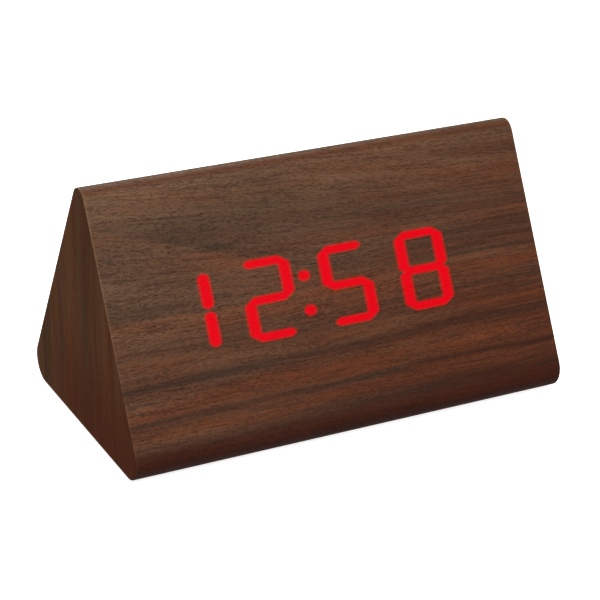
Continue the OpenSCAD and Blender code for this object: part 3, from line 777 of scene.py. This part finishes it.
# %% [markdown]
# ## The light of the numerals
# The numerals are places where the film lets the light of small LEDs through. The light is an even, full
# red along the middle of a stroke, and it fades over about a millimetre at the edges, because the
# film spreads it. So the finish is the film's own print with light added: where the attribute called glow
# is 0 it looks like the film, and where it is 1 the print goes dark and red light leaves the surface. The
# relief of the print still shows in the red, as a slight unevenness.

# %% Lit film finish
no_light = linear(0, 0, 0)
low_red = linear(219, 1, 19)
full_red = linear(234, 4, 23)
relief_span = (-0.5, 0.5)
lit_finish, tree, lit = new_finish("lit_film", Specular_IOR_Level=0.05, Emission_Strength=1.0)
colour, rough, height = sheet_print(tree)
glow = tree.add("Attribute", attribute_name="glow").outputs["Fac"]
red_light = tree.mix(tree.step(height, *relief_span), low_red, full_red)
relief = tree.times(height, tree.minus(1.0, glow))
tree.feed(
    lit,
    Base_Color=tree.mix(glow, colour, no_light),
    Emission_Color=tree.mix(glow, no_light, red_light),
    Roughness=rough,
    Normal=tree.bump(relief, **film_bump),
)
print("lit_film nodes:", len(lit_finish.node_tree.nodes))

# %% [markdown]
# ## Middle lines of the strokes
# A numeral has up to seven strokes with slanted ends, and each one is the space round a middle line. The
# upright strokes are wider than the level ones, so the sideways measure is first shrunk until both are
# equally wide. Where two lit strokes meet, a short slanting line joins their middle lines. How deep a point
# lies in the strokes then follows from its distance to the nearest line. A round distance would give round
# ends and a sum of the two sides would give pointed ones, so a power between the two is used.

# %% Numeral sizes
lit_t = film_t / 2
level_t = 2.75 * mm
stroke_gap = 0.7 * mm
stroke_power = 1.45


def on_front(node):
    """Middle and size of a lit node on the front slope, sideways and up the slope. The thickness of the node
    adds cos(slope) * lit_t to its height, so that is taken off again."""
    low, high = (np.array(corner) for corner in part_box(node))
    thick_z = math.cos(slope) * lit_t
    mid_v = ((high[2] + low[2] + thick_z) / 2 - underside) / math.sin(slope)
    return (high[0] + low[0]) / 2, mid_v, high[0] - low[0], (high[2] - low[2] - thick_z) / math.sin(slope)


digit_x, digit_v, digit_w, digit_h = on_front("hour_units")
digit_pitch = on_front("minute_tens")[0] - digit_x
upright_w = on_front("hour_tens")[2]
print("numeral in mm:", round(digit_w / mm, 2), "x", round(digit_h / mm, 2), "at", round(digit_x / mm, 2))


# %% Middle lines
def line_depth(x, v, lines, half, power):
    """1 on a line, 0 at half from it and less beyond: 1 - d / half, where d is the smallest
    (|dx|^power + |dv|^power)^(1/power) from a point to the nearest place on each line."""
    nearest = np.full(x.shape, np.inf)
    for start_x, start_v, end_x, end_v in lines:
        way_x, way_v = end_x - start_x, end_v - start_v
        share = ((x - start_x) * way_x + (v - start_v) * way_v) / (way_x ** 2 + way_v ** 2)
        share = np.clip(share, 0, 1)
        off_x = np.abs(x - start_x - share * way_x)
        off_v = np.abs(v - start_v - share * way_v)
        nearest = np.minimum(nearest, (off_x ** power + off_v ** power) ** (1 / power))
    return 1 - nearest / half


def numeral_depth(x, v, lit):
    """Depth in the strokes of one numeral. lit tells which of them shine: top, upper right, lower right,
    bottom, lower left, upper left, middle. A lit middle stroke closes the gap between the upright ones."""
    top, upper_right, lower_right, bottom, lower_left, upper_left, middle = lit
    half = level_t / 2
    shrink = level_t / upright_w
    side_x = (digit_w - upright_w) / 2 * shrink
    bar_v = (digit_h - level_t) / 2
    bar_x = side_x - half
    gap = 0 if middle else stroke_gap / 2
    bars = ((bar_v, top), (0, middle), (-bar_v, bottom))
    lines = [(-bar_x, place, bar_x, place) for place, on in bars if on]
    for way_x, way_v, on, end_bar in (
        (1, 1, upper_right, top), (1, -1, lower_right, bottom),
        (-1, -1, lower_left, bottom), (-1, 1, upper_left, top),
    ):
        if on:
            lines.append((way_x * side_x, way_v * (half + gap), way_x * side_x, way_v * (bar_v - half)))
        if on and end_bar:
            lines.append((way_x * side_x, way_v * (bar_v - half), way_x * bar_x, way_v * bar_v))
        if on and middle:
            lines.append((way_x * side_x, way_v * half, way_x * bar_x, 0))
    return line_depth(x * shrink, v, lines, half, stroke_power)


only_top = (1, 0, 0, 0, 0, 0, 0)
top_middle = np.array([(digit_h - level_t) / 2])
print("depth in the middle of a top stroke:", numeral_depth(np.zeros(1), top_middle, only_top))

# %% [markdown]
# ## The lit numerals
# Each numeral is a fine grid on the front slope, a hair above the film. The grid is kept a little way out of
# the strokes, to where the light has faded. Its outermost points are moved onto the line where the fade
# ends, one step along the gradient of the depth, so that the edge of the piece runs smoothly and not in
# steps. A text object would bring its own letter shapes, and these strokes have to fit the LEDs behind them.

# %% Lit piece
grid_pitch = 0.25 * mm
grid_margin = 4 * grid_pitch
lit_lift = 0.02 * mm
fade_out = 0.34
fade_in = 0.5


def lit_piece(name, mid_x, mid_v, half_w, half_h, depth):
    """Grid round a middle point of the front slope. Its glow is the smooth step 3u^2 - 2u^3 of the depth,
    with u from 0 at -fade_out to 1 at +fade_in."""
    across = np.arange(-half_w - grid_margin, half_w + grid_margin, grid_pitch)
    upward = np.arange(-half_h - grid_margin, half_h + grid_margin, grid_pitch)
    x, v = np.meshgrid(across, upward, indexing="ij")
    deep = depth(x, v)
    inside = deep >= -fade_out
    kept = np.zeros((len(across) - 1, len(upward)), bool)
    kept[:, :-1] = inside[1:, 1:] | inside[1:, :-1] | inside[:-1, 1:] | inside[:-1, :-1]
    steep_x, steep_v = np.gradient(deep, grid_pitch)
    stride = np.where(inside, 0, (-fade_out - deep) / (steep_x ** 2 + steep_v ** 2))
    x, v = x + stride * steep_x, v + stride * steep_v
    u = np.clip((depth(x, v) + fade_out) / (fade_in + fade_out), 0, 1)
    glow = u * u * (3 - 2 * u)
    sheet = np.stack([mid_x + x, mid_v + v], axis=-1)
    piece = grid_piece(name + "_light", on_slope(mid_x + x, mid_v + v, lit_lift, -1), sheet, kept, glow)
    piece.data.materials.append(lit_finish)
    body = piece.modifiers.new("lit thickness", "SOLIDIFY")
    body.thickness = lit_t
    body.offset = -1.0
    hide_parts(name)
    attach(piece, "clock")
    return piece


print("light fades over, in mm:", round((fade_out + fade_in) * level_t / 2 / mm, 2))

# %% Numerals and colon
shown = {
    "hour_tens": (0, 1, 1, 0, 0, 0, 0),
    "hour_units": (1, 1, 0, 1, 1, 0, 1),
    "minute_tens": (1, 0, 1, 1, 0, 1, 1),
    "minute_units": (1, 1, 1, 1, 1, 1, 1),
}
for place_n, (name, lit_strokes) in enumerate(shown.items()):
    lit_piece(name, digit_x + (place_n - 1) * digit_pitch, digit_v, digit_w / 2, digit_h / 2,
              lambda x, v: numeral_depth(x, v, lit_strokes))

dot_h = 3.4 * mm
dot_power = 2
colon_x, colon_v, colon_w, colon_h = on_front("colon_dots")
dot_x = (colon_w - dot_h) / 2
dot_v = (colon_h - dot_h) / 2
dot_lines = [(-dot_x, -dot_v, dot_x, -dot_v), (-dot_x, dot_v, dot_x, dot_v)]
lit_piece("colon_dots", colon_x, colon_v, colon_w / 2, colon_h / 2,
          lambda x, v: line_depth(x, v, dot_lines, dot_h / 2, dot_power))
print("lit pieces:", len(shown) + 1)

# %% [markdown]
# ## Moulded skin as a shared group
# Plastic from a mould, rubber, fibreboard and plated metal all have some unevenness: a fine skin that breaks
# the gloss and a broad mottle that breaks the colour. One group gives both from Object coordinates, and each
# material sets how coarse they are.

# %% Skin group
skin_group, tree, taken, given = new_group("moulded_skin", ["Fine mm", "Broad mm"], ["Fine", "Broad"])
fine_mm, broad_mm = taken
place = tree.object_mm()
tree.feed(
    given,
    Fine=tree.noise(tree.scaled(place, tree.math("DIVIDE", 1.0, fine_mm)), detail=2.0),
    Broad=tree.noise(tree.scaled(place, tree.math("DIVIDE", 1.0, broad_mm)), detail=3.0),
)
print("moulded_skin nodes:", len(skin_group.nodes))

# %% [markdown]
# ## One table for the plain finishes
# Most finishes on and in the clock differ only in a few numbers, so they are rows of one table. The colours
# are screen values, from the pale to the dark end of the mottle, and the roughness runs between two values
# with the fine skin.

# %% Skin finishes
skin_bump_strength = 0.5


def skin_finish(name, pale, dark, fine, broad, rough, height, metal):
    """A finish whose colour goes from pale to dark with the broad mottle, and whose roughness and bump
    follow the fine skin. Sizes are in millimetres, rough is the lowest and highest roughness."""
    material, tree, shader = new_finish(name, Metallic=metal)
    skin = tree.group(skin_group, Fine_mm=fine, Broad_mm=broad)
    tree.feed(
        shader,
        Base_Color=tree.mix(tree.step(skin["Broad"], *noise_span), linear(*pale), linear(*dark)),
        Roughness=tree.step(skin["Fine"], *noise_span, *rough),
        Normal=tree.bump(skin["Fine"], height, skin_bump_strength),
    )
    return material


# Slot: pale colour, dark colour, fine mm, broad mm, lowest and highest roughness, skin height in mm, metal
skins = {
    "fibreboard": ((196, 164, 124), (164, 128, 90), 0.5, 3, (0.8, 0.95), 0.1, 0),
    "black_plastic": ((40, 40, 41), (32, 32, 33), 0.35, 12, (0.42, 0.6), 0.02, 0),
    "button_plastic": ((44, 44, 46), (36, 36, 38), 0.2, 5, (0.3, 0.4), 0.005, 0),
    "foot_rubber": ((52, 51, 50), (42, 42, 41), 0.3, 4, (0.8, 0.95), 0.03, 0),
    "screw_steel": ((150, 150, 153), (118, 119, 123), 0.15, 1.2, (0.34, 0.5), 0.004, 1),
    "contact_nickel": ((214, 211, 203), (186, 182, 172), 0.2, 2.5, (0.16, 0.3), 0.003, 1),
    "capacitor_sleeve": ((38, 44, 92), (26, 30, 66), 0.3, 3, (0.25, 0.35), 0.004, 0),
    "lead_red": ((186, 28, 26), (150, 20, 20), 0.2, 3, (0.3, 0.42), 0.004, 0),
    "board_green": ((26, 96, 56), (18, 74, 44), 0.4, 6, (0.25, 0.4), 0.006, 0),
    "white_plastic": ((232, 231, 226), (220, 219, 213), 0.3, 6, (0.4, 0.55), 0.01, 0),
    "led_resin": ((238, 222, 160), (226, 205, 130), 0.2, 1, (0.15, 0.25), 0.002, 0),
    "diffuser_film": ((240, 239, 235), (228, 227, 222), 0.15, 4, (0.6, 0.75), 0.01, 0),
    "ribbon_grey": ((168, 170, 174), (140, 142, 147), 0.2, 2, (0.4, 0.5), 0.004, 0),
}
finishes = {"grain_film": end_finish, "lit_red": lit_finish}
for slot, look in skins.items():
    finishes[slot] = skin_finish(slot, *look)
print("finishes:", len(finishes))

# %% [markdown]
# ## The jackets of the cells
# Four AAA cells lie in the bay, every second one turned round. Each has a dark jacket with a copper-coloured
# end towards its stud, and bare metal at both ends. The four cells are one node, so the finish has to tell
# them apart. The bay repeats every cell pitch across the clock: the number of the cell comes from rounding
# down the depth, and its remainder by two says which way the cell lies.

# %% Cell finish
cell_pitch = 10.9
cell_half = 22.25
spring_shift = 2.1
copper_start = (11.9, 12.1)
bare_start = (cell_half - 1.7, cell_half - 1.6)
mottle_span = (0.3, 0.8)
copper_metal = 0.8
jacket_grey = linear(30, 31, 35)
jacket_dark = linear(20, 20, 22)
jacket_copper = linear(176, 112, 66)
bare_steel = linear(206, 205, 200)

cell_finish, tree, cell = new_finish("cell_jacket")
x, y, _ = tree.split(tree.object_mm())
number = tree.math("FLOOR", tree.math("DIVIDE", tree.plus(y, 2 * cell_pitch), cell_pitch))
way = tree.minus(1.0, tree.times(tree.math("MODULO", number, 2.0), 2.0))
to_stud = tree.minus(tree.times(x, way), spring_shift)
skin = tree.group(skin_group, Fine_mm=0.3, Broad_mm=8.0)
copper = tree.step(to_stud, *copper_start)
bare = tree.step(tree.math("ABSOLUTE", to_stud), *bare_start)
jacket = tree.mix(copper, jacket_grey, jacket_copper)
jacket = tree.mix(tree.step(skin["Broad"], *mottle_span, high=0.25), jacket, jacket_dark)
tree.feed(
    cell,
    Base_Color=tree.mix(bare, jacket, bare_steel),
    Metallic=tree.math("MAXIMUM", bare, tree.times(copper, copper_metal)),
    Roughness=tree.step(skin["Fine"], *noise_span, low=0.24, high=0.36),
)
finishes["cell_jacket"] = cell_finish
print("cell_jacket nodes:", len(cell_finish.node_tree.nodes))

# %% [markdown]
# ## Finishes on the CAD nodes
# Most nodes already have the right shape, so they stay as they are. The packed record says which material
# slot each node belongs to, and the finish of that slot takes the place of the plain colour.

# %% Dress the nodes
for subpart in frame["record"]["subparts"]:
    kept_node = nodes[subpart["node"]]
    kept_node.data.materials.clear()
    kept_node.data.materials.append(finishes[subpart["material_slot"]])

# %% [markdown]
# ## Push buttons
# The three button caps are round, with a soft edge and a low crown that a fingertip can feel. A cylinder with
# a bevel would have a flat top. A surface of revolution suits them better: a profile of radius and height,
# carried round an axis. The points on the axis fall together, so they are merged to close the pole.

# %% Cap shape
turn_steps = 40
edge_steps = 7
crown_steps = 9
weld_reach = 0.001 * mm
sharp_angle = math.radians(50)


def revolved(radius, height):
    """A profile turned about an axis, as three grids: radius * cos a to the side, radius * sin a upwards, and
    the height along the axis."""
    a = np.linspace(0, 2 * math.pi, turn_steps, endpoint=False)
    return radius[:, None] * np.cos(a), radius[:, None] * np.sin(a), height[:, None] + 0 * a


def soft_disc(disc_r, top, bottom, edge_r, crown):
    """Profile from the bottom's middle, up the side, round the edge and over a crowned top to its middle:
    the top falls by crown * (r / R) squared."""
    bend = np.linspace(0, math.pi / 2, edge_steps)
    inner = disc_r - edge_r
    over = np.linspace(inner, 0, crown_steps)[1:]
    fall = crown * (inner / disc_r) ** 2
    radius = np.concatenate([[0, disc_r], inner + edge_r * np.cos(bend), over])
    height = np.concatenate([
        [bottom, bottom], top - fall - edge_r + edge_r * np.sin(bend), top - crown * (over / disc_r) ** 2])
    return radius, height


def close_poles(piece):
    """Merges the points that fall together, and splits the shading at sharp corners."""
    weld = piece.modifiers.new("closed poles", "WELD")
    weld.merge_threshold = weld_reach
    piece.data.set_sharp_from_angle(angle=sharp_angle)


cap_r = 3 * mm
cap_top = 2.2 * mm
cap_foot = -3.1 * mm
cap_edge_r = 0.45 * mm
cap_crown = 0.15 * mm
cap_x, cap_v, cap_h = revolved(*soft_disc(cap_r, cap_top, cap_foot, cap_edge_r, cap_crown))
print("points in the grid of a cap:", cap_x.size)

# %% Button caps
button_pitch = 12 * mm
button_names = ["set_button", "up_button", "down_button"]
for place_n, name in enumerate(button_names):
    side = (1 - place_n) * button_pitch
    cap = grid_piece(name + "_cap", on_slope(side - cap_x, panel_v + cap_v, cap_h, 1))
    close_poles(cap)
    cap.data.materials.append(finishes["button_plastic"])
    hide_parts(name)
    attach(cap, name)
print("button caps:", len(button_names))

# %% [markdown]
# ## Floor and room
# The clock stands on a plain pale floor in an even, bright room, as for a product picture. The floor glows
# by itself, so that it stays white with only a trace of shade under the clock. It throws neither light nor
# shadow on the clock, and a camera below it looks through it at the underside. The room is white to the
# camera and much dimmer as a light, because the lamps do most of the lighting.

# %% Floor
floor_half = 30.0
floor_corners = [(-1, -1), (1, -1), (1, 1), (-1, 1)]
floor_mesh = bpy.data.meshes.new("floor")
floor_mesh.from_pydata([(x * floor_half, y * floor_half, 0) for x, y in floor_corners], [], [(0, 1, 2, 3)])
floor = new_object("floor", floor_mesh)
floor.visible_diffuse = False
floor.visible_glossy = False
floor.visible_shadow = False

floor_finish, tree, _ = new_finish(
    "pale_floor", Base_Color=(0.9, 0.9, 0.9, 1.0), Roughness=0.9, Specular_IOR_Level=0.1,
    Emission_Color=(1.0, 1.0, 1.0, 1.0), Emission_Strength=0.84)
floor_nodes = floor_finish.node_tree.nodes
seen_from_below = tree.add("MixShader")
tree.put(seen_from_below.inputs[0], tree.add("NewGeometry").outputs["Backfacing"])
tree.put(seen_from_below.inputs[1], floor_nodes["Principled BSDF"].outputs[0])
tree.put(seen_from_below.inputs[2], tree.add("BsdfTransparent").outputs[0])
tree.put(floor_nodes["Material Output"].inputs["Surface"], seen_from_below.outputs[0])
floor_mesh.materials.append(floor_finish)
print("floor in metres:", 2 * floor_half)

# %% Room
room_light = 0.3
room_in_view = 1.0
room = bpy.data.worlds.new("bright_room")
room.use_nodes = True
tree = Tree(room.node_tree)
in_view = tree.add("LightPath").outputs["Is Camera Ray"]
tree.feed(
    room.node_tree.nodes["Background"].inputs,
    Color=(1.0, 1.0, 1.0, 1.0),
    Strength=tree.step(in_view, 0.0, 1.0, room_light, room_in_view),
)
scene.world = room
print("room nodes:", len(room.node_tree.nodes))

# %% [markdown]
# ## Lamps
# A wide lamp in front and above gives the film its soft sheen, and a second one behind the clock lights its
# back and the floor there. A point lamp would throw hard shadows, so both are square area lamps more than a
# metre wide. The Standard view transform keeps the colours as they were chosen.


# %% Lamps
def soft_lamp(name, place, aim, size, power):
    """Square lamp of that size at a place, turned so that it shines towards aim."""
    lamp = new_object(name, bpy.data.lights.new(name, "AREA"))
    lamp.data.size = size
    lamp.data.energy = power
    lamp.matrix_world = facing(place, aim)
    return lamp


soft_lamp("key_lamp", place=(-0.35, -0.7, 1.2), aim=(0, 0, 0.03), size=1.3, power=20)
soft_lamp("far_lamp", place=(0.2, 1.2, 1.2), aim=(0, 0.6, 0), size=1.2, power=16)
scene.view_settings.view_transform = "Standard"

# %% [markdown]
